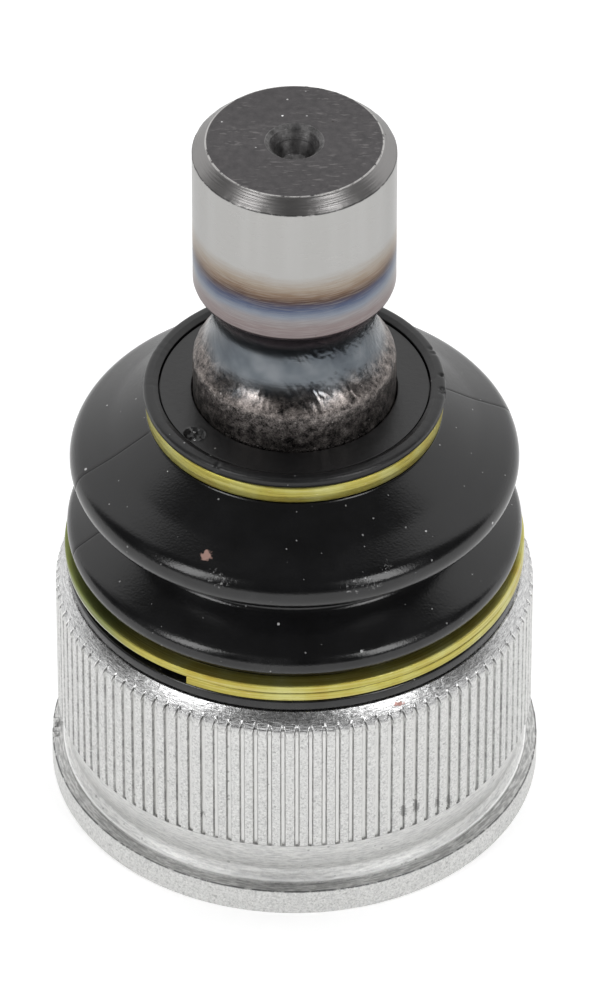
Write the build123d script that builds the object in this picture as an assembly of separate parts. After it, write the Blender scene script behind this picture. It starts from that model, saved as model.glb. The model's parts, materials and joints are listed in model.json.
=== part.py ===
from build123d import *
import math
import os

# Suspension ball joint, in millimetres. +Z runs along the stud, and z = 0 is the flat base of the housing.

# Ball and seat
ball_radius = 12.0
ball_clearance = 0.08        # grease film between the ball and its plastic seat
ball_flat_radius = 5.0       # flat turned on the bottom of the ball
tilt_limit = 20.0            # degrees that the stud leans, each way
bearing_wall = 1.72          # at the ball's equator
bearing_gap = 0.2            # between the two halves of the seat
grease_hole_radius = 5.5
bearing_floor = 0.8          # under the ball, at the edge of the grease hole
bearing_rim_margin = 1.5     # degrees that the seat stays clear of the leaning neck
bearing_chamfer = 0.6

# Disc spring and cover plate under the seat
spring_height = 1.6
spring_thickness = 0.9
spring_land = 1.0            # the spring bears on the seat this far outside the grease hole
spring_clearance = 0.9       # between the spring and the bore
cover_thickness = 1.8
cover_ledge = 2.6            # the cover plate reaches this far past the bore
cover_chamfer = 0.3
rolled_lip_height = 1.1
rolled_lip_width = 1.2
rolled_lip_bevel = 0.7

# Housing, outside
flange_radius = 22.2
flange_thickness = 2.75
flange_edge = 0.25
foot_radius = 20.6           # the waist where it meets the flange
foot_height = 0.5            # straight stretch above the relief groove
waist_hollow = 0.25          # the waist curves this far inside a straight line
relief_width = 0.35          # fine turned groove beside the foot
relief_depth = 0.2
waist_height = 4.95
seat_radius = 21.6           # over the knurl's lands
seat_length = 13.4
seat_step = 0.25             # the lands stand this far out of the waist
groove_count = 110
groove_width = 0.28
groove_depth = 0.22
shoulder_radius = 20.65
shoulder_height = 1.9

# Housing, under the boot
neck_groove_radius = 16.8
neck_groove_height = 3.4
neck_bead_radius = 17.7
neck_bead_height = 1.6
mouth_clearance = 1.2        # between the housing's mouth and the leaning neck

# Stud
neck_radius = 7.0
neck_fillet = 1.0
neck_length = 22.2           # from the ball's centre to the collar
flare_radius = 3.0
collar_radius = 9.1
collar_length = 9.35
collar_edge = 0.6
shank_radius = 9.0
shank_length = 15.1
shank_chamfer = 1.2
bolt_groove_height = 8.65
bolt_groove_depth = 1.7
centre_hole_radius = 2.24
centre_hole_depth = 5.0
centre_sink_radius = 2.83
centre_sink_angle = 30.0     # degrees of each side from the axis

# Boot
boot_gap = 0.2               # between the rubber and a piece that moves with another body
boot_wall = 1.3
lip_radius = 20.5
lip_height = 1.3
lower_fold_radius = 20.45
lower_fold_edge = 1.3        # radius of the fold's rounded rim
lower_fold_slope = 40.0      # degrees from level
upper_fold_radius = 20.14
upper_fold_edge = 1.8
upper_fold_drop = 8.35       # from the boot's top to the middle of the upper fold
upper_fold_slope = 38.0
fold_valley_radius = 16.3
rim_radius = 13.5
rim_width = 1.2
rim_edge = 0.4
rim_step = 0.4               # the rubber rim stands this far above the hard insert

# Insert ring in the boot's top
insert_drop = 4.1            # from the collar's upper edge down to the insert
insert_clearance = 0.08      # between the insert's bore and the collar
insert_thickness = 0.35
insert_sleeve_wall = 1.05
insert_sleeve_length = 3.7

# Wire clips
clip_wire = 0.9              # height of the lower clip's flat wire
clip_pitch = 0.93
clip_width = 1.5
clip_turns = 2.055
clip_end_angle = -117.7      # degrees from +X to the lower end of the wire
clip_radius = 20.7
upper_clip_radius = 13.3
upper_clip_width = 0.5
upper_clip_height = 1.55
clip_gap = 0.1               # between the upper clip and its groove

# Places that follow from the sizes
bore_radius = ball_radius + ball_clearance + bearing_wall
socket_radius = ball_radius + ball_clearance
cover_radius = bore_radius + cover_ledge
cover_top = rolled_lip_height + cover_thickness
bearing_bottom = cover_top + spring_height
ball_centre = bearing_bottom + bearing_floor + math.sqrt(socket_radius**2 - grease_hole_radius**2)
lean = math.radians(tilt_limit)
neck_edge_angle = math.asin((neck_radius + neck_fillet) / (ball_radius + neck_fillet))
bearing_rim_angle = neck_edge_angle + lean + math.radians(bearing_rim_margin)
bearing_rim = ball_centre + socket_radius * math.cos(bearing_rim_angle)
seat_bottom = flange_thickness + waist_height
seat_top = seat_bottom + seat_length
shoulder_top = seat_top + shoulder_height
bead_bottom = shoulder_top + neck_groove_height
housing_top = bead_bottom + neck_bead_height
waist_radius = seat_radius - seat_step
collar_bottom = ball_centre + neck_length
collar_top = collar_bottom + collar_length
shank_bottom = collar_top + bolt_groove_height
stud_top = shank_bottom + shank_length
insert_top = collar_top - insert_drop
insert_bore = collar_radius + insert_clearance
insert_radius = rim_radius - rim_width - boot_gap
boot_top = insert_top + rim_step
clip_bottom = shoulder_top + lip_height + boot_gap
clip_height = clip_wire + clip_pitch * clip_turns
clip_groove_radius = clip_radius - clip_width - boot_gap
clip_groove_top = clip_bottom + clip_height + boot_gap
seat_under_insert = insert_top - insert_thickness - boot_gap
upper_clip_top = seat_under_insert - boot_gap
upper_clip_bottom = upper_clip_top - upper_clip_height


def at(radius, height):
    """A point of a section, which is drawn in the XZ plane."""
    return Vector(radius, 0, height)


def around(centre_radius, centre_height, radius, degrees):
    """The point of a section's arc in that direction from the arc's centre."""
    angle = math.radians(degrees)
    return at(centre_radius + radius * math.cos(angle), centre_height + radius * math.sin(angle))


def arc(centre_radius, centre_height, radius, start, end):
    """An arc of a section, between two directions in degrees."""
    middle = (start + end) / 2
    points = [around(centre_radius, centre_height, radius, degrees) for degrees in (start, middle, end)]
    return ThreePointArc(*points)


def turned(*pieces):
    """A solid turned about Z. Its section is given in order, as points and arcs, and straight lines join them."""
    edges = []
    for piece, following in zip(pieces, pieces[1:] + pieces[:1]):
        if not isinstance(piece, Vector):
            edges.append(piece)
        start = piece if isinstance(piece, Vector) else piece @ 1
        end = following if isinstance(following, Vector) else following @ 0
        if (end - start).length > 0.0001:
            edges.append(Line(start, end))
    return revolve(make_face(edges), Axis.Z)


def leaning_neck(height):
    """How far from the axis the neck reaches at that height above the ball's centre, at full lean."""
    return height * math.tan(lean) + neck_radius / math.cos(lean)


def make_housing():
    """The steel shell, open at both ends, with the knurl's grooves cut into its press seat."""
    seat_rise = bearing_rim + bearing_gap
    mouth_radius = leaning_neck(seat_rise - ball_centre) + mouth_clearance
    top_radius = leaning_neck(housing_top - ball_centre) + mouth_clearance
    cone_bottom = seat_rise - (bore_radius - mouth_radius)
    waist_bottom = flange_thickness + foot_height
    waist_middle = at((foot_radius + waist_radius) / 2 - waist_hollow, (waist_bottom + seat_bottom) / 2)
    blank = turned(
        at(cover_radius - rolled_lip_width + rolled_lip_bevel, 0),
        at(flange_radius - flange_edge, 0),
        at(flange_radius, flange_edge),
        at(flange_radius, flange_thickness - flange_edge),
        at(flange_radius - flange_edge, flange_thickness),
        at(foot_radius + relief_width, flange_thickness),
        at(foot_radius + relief_width, flange_thickness - relief_depth),
        at(foot_radius, flange_thickness - relief_depth),
        at(foot_radius, waist_bottom),
        ThreePointArc(at(foot_radius, waist_bottom), waist_middle, at(waist_radius, seat_bottom)),
        at(seat_radius, seat_bottom),
        at(seat_radius, seat_top),
        TangentArc(at(seat_radius, seat_top), at(shoulder_radius, shoulder_top), tangent=(0, 0, 1)),
        at(neck_groove_radius, shoulder_top),
        at(neck_groove_radius, bead_bottom),
        at(neck_bead_radius, bead_bottom),
        at(neck_bead_radius, housing_top),
        at(top_radius, housing_top),
        at(mouth_radius, seat_rise),
        at(bore_radius, cone_bottom),
        at(bore_radius, cover_top),
        at(cover_radius, cover_top),
        at(cover_radius, rolled_lip_height),
        at(cover_radius - rolled_lip_width, rolled_lip_height),
    )
    root = seat_radius - groove_depth
    reach = 2 * groove_depth
    half = groove_width / 2 * reach / groove_depth
    groove = make_face(Polyline((root, 0), (root + reach, half), (root + reach, -half), close=True))
    prism = extrude(groove, amount=seat_length + shoulder_height + seat_step)
    places = PolarLocations(0, groove_count)
    grooves = [Pos(0, 0, seat_bottom - seat_step) * place * prism for place in places]
    return blank - grooves


def make_cover_plate():
    """The disc that the rolled lip holds in the housing's foot."""
    return turned(
        at(0, rolled_lip_height),
        at(cover_radius - cover_chamfer, rolled_lip_height),
        at(cover_radius, rolled_lip_height + cover_chamfer),
        at(cover_radius, cover_top),
        at(0, cover_top),
    )


def make_seat_spring():
    """The disc spring: its outer edge stands on the cover plate, and its inner edge presses on the seat."""
    outer = bore_radius - spring_clearance
    inner = grease_hole_radius + spring_land
    return turned(
        at(outer, cover_top),
        at(outer, cover_top + spring_thickness),
        at(inner, bearing_bottom),
        at(inner, bearing_bottom - spring_thickness),
    )


def make_lower_bearing():
    """The lower half of the plastic seat, with the grease hole in its floor."""
    joint = -bearing_gap / 2
    rim = math.degrees(math.asin(joint / socket_radius))
    hole = math.degrees(-math.acos(grease_hole_radius / socket_radius))
    return turned(
        at(grease_hole_radius, bearing_bottom),
        at(bore_radius - bearing_chamfer, bearing_bottom),
        at(bore_radius, bearing_bottom + bearing_chamfer),
        at(bore_radius, ball_centre + joint),
        arc(0, ball_centre, socket_radius, rim, hole),
    )


def make_upper_bearing():
    """The upper half of the plastic seat, held under the cone inside the housing's mouth."""
    joint = bearing_gap / 2
    rim = math.degrees(math.asin(joint / socket_radius))
    lip = 90 - math.degrees(bearing_rim_angle)
    seat_rise = bearing_rim + bearing_gap
    mouth_radius = leaning_neck(seat_rise - ball_centre) + mouth_clearance
    return turned(
        arc(0, ball_centre, socket_radius, lip, rim),
        at(bore_radius, ball_centre + joint),
        at(bore_radius, seat_rise - (bore_radius - mouth_radius)),
        at(mouth_radius + bearing_gap, bearing_rim),
    )


def make_ball_stud():
    """Ball, neck, collar, bolt groove, ground shank and centre hole, turned from one forging."""
    flat = -math.degrees(math.acos(ball_flat_radius / ball_radius))
    neck_edge = 90 - math.degrees(neck_edge_angle)
    fillet_radius = neck_radius + neck_fillet
    fillet_height = ball_centre + (ball_radius + neck_fillet) * math.cos(neck_edge_angle)
    half = bolt_groove_height / 2
    cutter = (half**2 + bolt_groove_depth**2) / (2 * bolt_groove_depth)
    groove_centre = shank_radius - bolt_groove_depth + cutter
    groove_height = collar_top + half
    sweep = math.degrees(math.asin(half / cutter))
    flare_height = collar_bottom - flare_radius
    sink_depth = (centre_sink_radius - centre_hole_radius) / math.tan(math.radians(centre_sink_angle))
    return turned(
        at(0, ball_centre + ball_radius * math.sin(math.radians(flat))),
        arc(0, ball_centre, ball_radius, flat, neck_edge),
        arc(fillet_radius, fillet_height, neck_fillet, neck_edge - 180, -180),
        TangentArc(at(neck_radius, flare_height), at(collar_radius, collar_bottom), tangent=(0, 0, 1)),
        at(collar_radius, collar_top - collar_edge),
        around(groove_centre, groove_height, cutter, 180 + sweep),
        arc(groove_centre, groove_height, cutter, 180 + sweep, 180 - sweep),
        at(shank_radius, stud_top - shank_chamfer),
        at(shank_radius - shank_chamfer, stud_top),
        at(centre_sink_radius, stud_top),
        at(centre_hole_radius, stud_top - sink_depth),
        at(centre_hole_radius, stud_top - centre_hole_depth),
        at(0, stud_top - centre_hole_depth - centre_hole_radius * math.tan(math.radians(centre_sink_angle))),
    )


def make_dust_boot():
    """The rubber bellows: lip, clip groove, two folds, upper clip groove and the rim round the insert."""
    lower_centre = lower_fold_radius - lower_fold_edge
    lower_height = clip_groove_top + lower_fold_edge
    upper_centre = upper_fold_radius - upper_fold_edge
    upper_height = boot_top - upper_fold_drop
    lip_inner = neck_groove_radius + boot_gap
    bead_inner = neck_bead_radius + boot_gap
    neck_inner = insert_bore + insert_sleeve_wall + boot_gap
    lower_slope = 90 - lower_fold_slope
    upper_slope = 90 - upper_fold_slope
    lower_rim = around(lower_centre, lower_height, lower_fold_edge, lower_slope)
    slope_run = lower_rim.X - fold_valley_radius
    valley_height = lower_rim.Z + slope_run * math.tan(math.radians(lower_fold_slope))
    underside = upper_height - upper_fold_edge
    valley_top = (valley_height + 2 * underside) / 3
    groove_floor = upper_clip_radius - upper_clip_width - clip_gap
    clip_seat = upper_clip_bottom - clip_gap
    inner_valley = fold_valley_radius - boot_wall
    inner_edge = upper_fold_edge - boot_wall
    cone_top = at(upper_clip_radius, clip_seat)
    cone_bottom = around(upper_centre, upper_height, upper_fold_edge, upper_slope)
    downhill = math.radians(upper_fold_slope)
    inner_cone = around(upper_centre, upper_height, inner_edge, upper_slope)
    sleeve_bottom = insert_top - insert_sleeve_length
    cone_start = inner_cone.Z + (inner_cone.X - neck_inner - boot_wall) * math.tan(downhill)
    return turned(
        at(lip_inner, shoulder_top),
        at(lip_radius, shoulder_top),
        at(lip_radius, clip_bottom - boot_gap),
        at(clip_groove_radius, clip_bottom - boot_gap),
        at(clip_groove_radius, clip_groove_top),
        arc(lower_centre, lower_height, lower_fold_edge, -90, lower_slope),
        at(fold_valley_radius, valley_height),
        at(fold_valley_radius, valley_top),
        arc(upper_centre, upper_height, upper_fold_edge, -90, upper_slope),
        TangentArc(
            cone_bottom,
            cone_top,
            tangent=(-math.cos(downhill), 0, math.sin(downhill)),
        ),
        at(groove_floor, clip_seat),
        at(groove_floor, upper_clip_top + clip_gap),
        at(rim_radius, upper_clip_top + clip_gap),
        at(rim_radius, boot_top - rim_edge),
        at(rim_radius - rim_edge, boot_top),
        at(rim_radius - rim_width, boot_top),
        at(rim_radius - rim_width, seat_under_insert),
        at(neck_inner, seat_under_insert),
        at(neck_inner, sleeve_bottom),
        at(neck_inner + boot_wall, min(cone_start, sleeve_bottom)),
        arc(upper_centre, upper_height, inner_edge, upper_slope, -90),
        at(inner_valley, upper_height - inner_edge),
        at(inner_valley, valley_height - boot_wall / 2),
        at(lower_centre, lower_height),
        at(bead_inner, lower_height - boot_gap),
        at(bead_inner, bead_bottom - boot_gap),
        at(lip_inner, bead_bottom - boot_gap),
    )


def make_boot_insert():
    """The hard ring in the boot's top: a flat plate with a sleeve that turns on the stud's collar."""
    sleeve_radius = insert_bore + insert_sleeve_wall
    return turned(
        at(insert_bore, insert_top),
        at(insert_radius, insert_top),
        at(insert_radius, insert_top - insert_thickness),
        at(sleeve_radius, insert_top - insert_thickness),
        at(sleeve_radius, insert_top - insert_sleeve_length),
        at(insert_bore, insert_top - insert_sleeve_length),
    )


def make_upper_clip():
    """The ring that clamps the rubber on the insert."""
    return turned(
        at(upper_clip_radius - upper_clip_width, upper_clip_bottom),
        at(upper_clip_radius, upper_clip_bottom),
        at(upper_clip_radius, upper_clip_top),
        at(upper_clip_radius - upper_clip_width, upper_clip_top),
    )


def make_lower_clip():
    """The flat wire wound about two turns round the boot's lip, with both of its ends free."""
    middle = clip_radius - clip_width / 2
    path = Helix(pitch=clip_pitch, height=clip_pitch * clip_turns, radius=middle)
    section = Plane(origin=(middle, 0, 0), x_dir=(1, 0, 0), z_dir=(0, 1, 0)) * Rectangle(clip_width, clip_wire)
    wire = sweep(section, path=path, binormal=Edge.make_line((0, 0, 0), (0, 0, clip_height)))
    return Pos(0, 0, clip_bottom + clip_wire / 2) * Rot(0, 0, clip_end_angle) * wire


nodes = {
    "housing": make_housing,
    "cover_plate": make_cover_plate,
    "seat_spring": make_seat_spring,
    "lower_bearing": make_lower_bearing,
    "upper_bearing": make_upper_bearing,
    "ball_stud": make_ball_stud,
    "dust_boot": make_dust_boot,
    "boot_insert": make_boot_insert,
    "upper_clip": make_upper_clip,
    "lower_clip": make_lower_clip,
}

os.makedirs("parts", exist_ok=True)
for name, make in nodes.items():
    export_step(make(), f"parts/{name}.step")
print(f"Ball centre at z = {ball_centre:.3f} mm, stud top at z = {stud_top:.3f} mm")
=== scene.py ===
# %% [markdown]
# # Dressing a suspension ball joint
# The part is a press-in ball joint. A steel housing with a fine straight knurl is pressed into a control arm,
# a ground stud leans and turns on a ball inside it, and a rubber bellows keeps the grease in.
# The CAD model already holds every size and every joint, so this lesson only makes surfaces: it rebuilds the
# outer pieces as finer meshes in exactly the same place and gives each one its finish.

# %% Load the frame
import json
import math

import bpy
import numpy as np
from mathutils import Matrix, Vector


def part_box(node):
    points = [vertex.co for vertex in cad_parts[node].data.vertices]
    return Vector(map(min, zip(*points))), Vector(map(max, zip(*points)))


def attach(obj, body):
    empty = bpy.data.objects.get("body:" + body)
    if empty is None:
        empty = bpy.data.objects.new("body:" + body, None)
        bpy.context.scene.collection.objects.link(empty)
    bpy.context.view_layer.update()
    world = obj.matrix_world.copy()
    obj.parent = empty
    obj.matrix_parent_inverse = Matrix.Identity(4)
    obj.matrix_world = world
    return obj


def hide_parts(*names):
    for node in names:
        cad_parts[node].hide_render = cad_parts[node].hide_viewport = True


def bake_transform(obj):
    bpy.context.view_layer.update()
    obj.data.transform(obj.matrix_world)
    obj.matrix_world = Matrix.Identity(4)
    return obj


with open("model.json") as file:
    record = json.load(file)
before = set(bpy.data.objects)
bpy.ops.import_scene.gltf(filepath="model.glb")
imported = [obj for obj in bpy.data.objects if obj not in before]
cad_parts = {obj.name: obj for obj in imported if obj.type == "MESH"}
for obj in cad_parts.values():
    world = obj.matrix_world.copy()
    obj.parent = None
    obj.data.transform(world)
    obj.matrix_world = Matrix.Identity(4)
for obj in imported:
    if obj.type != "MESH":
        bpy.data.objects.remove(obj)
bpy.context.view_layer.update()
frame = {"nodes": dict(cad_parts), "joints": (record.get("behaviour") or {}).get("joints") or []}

mm = 0.001
print("nodes:", sorted(frame["nodes"]))

# %% [markdown]
# ## Where things are
# Every length below is in millimetres. The main ones are read from the CAD nodes, so the dressed part can't
# drift away from the frame. Directions round the axis are azimuths in degrees: 0 is the side that faces the
# camera, and they grow to the right.

# %% Read the main sizes from the frame
_, housing_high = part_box("housing")
_, stud_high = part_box("ball_stud")
boot_low, boot_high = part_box("dust_boot")
insert_low, insert_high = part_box("boot_insert")
upper_clip_low, upper_clip_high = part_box("upper_clip")
flange_radius = housing_high.x / mm
housing_top = housing_high.z / mm
stud_top = stud_high.z / mm
boot_bottom = boot_low.z / mm
boot_top = boot_high.z / mm
insert_top = insert_high.z / mm
ball_centre = frame["joints"][0]["pos_m"][2] / mm
print(f"flange radius {flange_radius:.2f}, stud top {stud_top:.2f}")
print(f"boot from {boot_bottom:.2f} to {boot_top:.2f}")

# %% [markdown]
# ## A spinning wheel for meshes
# Nearly every piece here was turned or moulded round one axis. Blender has a Screw modifier for that, but it
# spins a plain outline. Here the outline is spun in numpy instead, because then a function can push single
# points in or out on the way: that is how the knurl, forging scale and moulding marks become real geometry.

# %% Outlines: corners, arcs and rounding
def arc(centre_radius, centre_height, radius, start, end, steps=8):
    """Points of an arc in the section plane. Directions are in degrees, 0 outward and 90 up."""
    turns = np.radians(np.linspace(start, end, steps + 1))
    return [(centre_radius + radius * math.cos(t), centre_height + radius * math.sin(t)) for t in turns]


def round_corner(before, corner, after, rounding, steps=4):
    """The points that replace a corner by an arc of that radius."""
    here = np.array(corner)
    back = np.array(before) - here
    ahead = np.array(after) - here
    back_length = np.linalg.norm(back)
    ahead_length = np.linalg.norm(ahead)
    back = back / back_length
    ahead = ahead / ahead_length
    half = math.acos(float(np.clip(back @ ahead, -1, 1))) / 2
    reach = min(rounding / math.tan(half), 0.49 * back_length, 0.49 * ahead_length)
    middle = back + ahead
    centre = here + middle / np.linalg.norm(middle) * reach / math.cos(half)
    start = here + back * reach - centre
    end = here + ahead * reach - centre
    first = math.atan2(start[1], start[0])
    turn = (math.atan2(end[1], end[0]) - first + math.pi) % (2 * math.pi) - math.pi
    size = np.linalg.norm(start)
    turns = [first + turn * step / steps for step in range(steps + 1)]
    return [(centre[0] + size * math.cos(t), centre[1] + size * math.sin(t)) for t in turns]


def outline(corners, longest, closed=True):
    """Rounds the corners that have a third number, and cuts stretches that are longer than `longest`."""
    count = len(corners)
    points = []
    for index, corner in enumerate(corners):
        is_end = not closed and index in (0, count - 1)
        if len(corner) == 2 or is_end:
            points.append(corner[:2])
            continue
        before = corners[index - 1][:2]
        after = corners[(index + 1) % count][:2]
        points += round_corner(before, corner[:2], after, corner[2])
    cut = []
    followers = points[1:] + points[:1]
    for index, (here, there) in enumerate(zip(points, followers)):
        cut.append(here)
        length = math.dist(here, there)
        pieces = math.ceil(length / longest(here, there))
        if not closed and index == len(points) - 1:
            break
        for piece in range(1, pieces):
            share = piece / pieces
            cut.append((here[0] + (there[0] - here[0]) * share, here[1] + (there[1] - here[1]) * share))
    kept = [cut[0]]
    for point in cut[1:]:
        if math.dist(point, kept[-1]) > 0.002:
            kept.append(point)
    return np.array(kept)


# %% Spin an outline into a mesh
def finish_mesh(name, vertices, faces, sharp_angle=50):
    """A smooth-shaded object whose folds sharper than sharp_angle degrees stay crisp."""
    mesh = bpy.data.meshes.new(name)
    mesh.from_pydata(vertices.tolist(), [], faces)
    mesh.validate()
    mesh.shade_smooth()
    mesh.set_sharp_from_angle(angle=math.radians(sharp_angle))
    piece = bpy.data.objects.new(name, mesh)
    bpy.context.scene.collection.objects.link(piece)
    return piece


def spin(name, section, azimuths, shape=None, closed=True, sharp_angle=50):
    """Spins a section round Z.

    shape(azimuth, radius, height, outward) may return a moved radius and height.
    """
    before = np.roll(section, 1, 0)
    after = np.roll(section, -1, 0)
    if not closed:
        before[0] = section[0]
        after[-1] = section[-1]
    along = after - before
    along /= np.linalg.norm(along, axis=1, keepdims=True)
    outward = (along[:, 1][None, :], -along[:, 0][None, :])
    azimuth, radius = np.meshgrid(azimuths, section[:, 0], indexing="ij")
    height = np.broadcast_to(section[:, 1], radius.shape)
    if shape:
        radius, height = shape(azimuth, radius, height, outward)
    angle = np.radians(azimuth)
    grid = np.stack([radius * np.sin(angle), -radius * np.cos(angle), height], axis=-1) * mm
    rows, columns = radius.shape
    vertices = grid.reshape(-1, 3)
    index = np.arange(rows * columns).reshape(rows, columns)
    if not closed:
        index[:, 0] = index[0, 0]
        index[:, -1] = index[0, -1]
    ring = np.roll(index, -1, 0)
    low = index if closed else index[:, :-1]
    low_next = ring if closed else ring[:, :-1]
    high = np.roll(index, -1, 1) if closed else index[:, 1:]
    high_next = np.roll(ring, -1, 1) if closed else ring[:, 1:]
    quads = np.stack([low, low_next, high_next, high], axis=-1).reshape(-1, 4)
    faces = [list(dict.fromkeys(quad)) for quad in quads.tolist()]
    used = np.unique(quads)
    place = np.zeros(len(vertices), int)
    place[used] = np.arange(len(used))
    faces = [[int(place[corner]) for corner in face] for face in faces if len(face) > 2]
    piece = finish_mesh(name, vertices[used], faces, sharp_angle)
    print(f"{name}: {len(used)} points, {len(faces)} faces")
    return piece


def even_azimuths(count):
    return np.arange(count) * 360.0 / count


# %% [markdown]
# Real surfaces are never perfect. `lumps` gives smooth random heights on a turned surface. It is a small
# grid of seeded random numbers, wrapped round the axis so that the last column meets the first one without
# a seam, and blended with a smooth step in between.

# %% Seeded unevenness for turned surfaces
def lumps(azimuth, height, seed, per_turn, height_step):
    """Smooth random values from -1 to 1, with that many cells per turn, each height_step mm high."""
    rows = 97
    table = np.random.default_rng(seed).uniform(-1, 1, (per_turn, rows))
    across = azimuth / 360.0 * per_turn
    upward = height / height_step + 11.3
    column = np.floor(across).astype(int)
    row = np.floor(upward).astype(int)
    u = across - column
    v = upward - row
    u = u * u * (3 - 2 * u)
    v = v * v * (3 - 2 * v)
    left = column % per_turn
    right = (column + 1) % per_turn
    below = row % rows
    above = (row + 1) % rows
    low = table[left, below] * (1 - u) + table[right, below] * u
    high = table[left, above] * (1 - u) + table[right, above] * u
    return low * (1 - v) + high * v


def step_up(value, start, end):
    """0 below start, 1 above end and smooth in between. With end below start it falls instead."""
    share = np.clip((value - start) / (end - start), 0, 1)
    return share * share * (3 - 2 * share)


def degrees_off(azimuth, centre):
    """How far an azimuth is from the centre, the short way round."""
    return (azimuth - centre + 180) % 360 - 180


def patch(azimuth, height, centre_azimuth, centre_height, half_angle, half_height):
    """A soft bump that is 1 at its centre and 0 outside its half sizes."""
    away = degrees_off(azimuth, centre_azimuth) / half_angle
    up = (height - centre_height) / half_height
    return step_up(1 - np.sqrt(away**2 + up**2), 0, 0.6)


def ridge(value, centre, width):
    """A smooth ridge that is 1 at its centre and has that width."""
    return np.exp(-(((value - centre) / width) ** 2))


def pushed(radius, height, outward, push):
    """Points moved along the outward direction by push."""
    return radius + push * outward[0], height + push * outward[1]


# %% [markdown]
# ## The housing
# The housing is turned steel. The knurl's grooves are rolled or broached straight up, so they run out on the
# rounded shoulder in small arches. A texture can't do that run-out, so the grooves are cut in the mesh: where
# a groove's floor lies inside the turned shape, the surface is pulled in to the floor. The points round the
# axis are packed where the groove walls are, thirteen for each groove, and spread out on the lands.

# %% The knurl's pattern round the axis
groove_count = 110
groove_floor_depth = 0.27
groove_mouth = 0.2            # half width as a share of the pitch
groove_floor = 0.105
groove_wander = 0.02
groove_phase = 0.54
groove_end = 21.72
groove_arch = 0.5
groove_points = (-0.5, -0.36, -0.225, -0.2, -0.15, -0.105, -0.04, 0.04, 0.105, 0.15, 0.2, 0.225, 0.36)
pitch = 360.0 / groove_count
random_groove = np.random.default_rng(5)
groove_shift = random_groove.uniform(-groove_wander, groove_wander, groove_count)
groove_deepness = random_groove.uniform(0.8, 1.15, groove_count)
groove_centres = groove_phase + pitch * (np.arange(groove_count) + groove_shift)
knurl_azimuths = (groove_centres[:, None] + pitch * np.array(groove_points)[None, :]).ravel()
knurl_share = np.tile(np.array(groove_points), groove_count)
knurl_deepness = np.repeat(groove_deepness, len(groove_points))
knurl_ends = np.repeat(random_groove.uniform(-1, 1, groove_count), len(groove_points))
print(f"{groove_count} grooves, {len(knurl_azimuths)} points round the axis")

# %% The housing's section
seat_radius = 21.6
seat_bottom = 7.7
seat_top = 21.0
shoulder_start = 20.95
corner_round = 1.2
corner_turn = 20.0
crown_round = 5.15
crown_turn = 40.6
flange_top = 2.75
foot_radius = 21.12
foot_step = 0.42
foot_round = 1.2
foot_turn = 53.0
waist_radius = 21.36
waist_low = flange_top + foot_step + foot_round * math.sin(math.radians(foot_turn))
waist_low_radius = foot_radius - foot_round * (1 - math.cos(math.radians(foot_turn)))
corner_centre = (seat_radius - corner_round, shoulder_start)
crown_back = crown_round - corner_round
crown_centre = (
    corner_centre[0] - crown_back * math.cos(math.radians(corner_turn)),
    corner_centre[1] - crown_back * math.sin(math.radians(corner_turn)),
)


def housing_step(here, there):
    """Fine steps where grooves run out and on the flange's rim, wide ones where nothing shows."""
    height = (here[1] + there[1]) / 2
    radius = (here[0] + there[0]) / 2
    if radius > 20.3 and seat_top - 0.9 < height < boot_bottom + 0.1:
        return 0.09
    if radius > 20.3 and height < seat_bottom:
        return 0.3
    return 2.5


foot_bore = 15.9
lip_bore = 15.2
lip_top = 1.1
cover_recess = 16.4
cover_seat = 2.9
cavity_radius = 13.8
cavity_top = 19.6
mouth_radius = 11.0
mouth_height = 22.4
neck_radius_low = 16.8
bead_radius = 17.7
bead_height = 1.6
housing_corners = [
    (foot_bore, 0.0, 0.2),
    (flange_radius, 0.0, 0.3),
    (flange_radius, flange_top, 0.16),
    (foot_radius + 0.06, flange_top, 0.08),
    (foot_radius + 0.05, flange_top + foot_step - 0.02, 0.08),
    *arc(waist_low_radius + foot_round, waist_low, foot_round, 180 + foot_turn, 180, 8),
    (waist_radius - 0.06, seat_bottom - 0.3, 0.2),
    (waist_radius, seat_bottom - 0.05, 0.03),
    (seat_radius - 0.07, seat_bottom - 0.04, 0.03),
    (seat_radius, seat_bottom + 0.08, 0.05),
    (seat_radius, shoulder_start),
    *arc(*corner_centre, corner_round, 2, corner_turn, 8),
    *arc(*crown_centre, crown_round, corner_turn + 1, crown_turn, 20),
    # under the boot, where nothing shows
    (20.3, boot_bottom - 0.02),
    (neck_radius_low, boot_bottom - 0.02),
    (neck_radius_low, housing_top - bead_height),
    (bead_radius, housing_top - bead_height),
    (bead_radius, housing_top),
    (14.0, housing_top, 0.2),
    # the inside, from the mouth down to the rolled lip
    (mouth_radius, mouth_height),
    (cavity_radius, cavity_top),
    (cavity_radius, cover_seat),
    (cover_recess, cover_seat),
    (cover_recess, lip_top),
    (lip_bore, lip_top),
]
housing_section = outline(housing_corners, housing_step)
print(f"housing section: {len(housing_section)} points")


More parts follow.
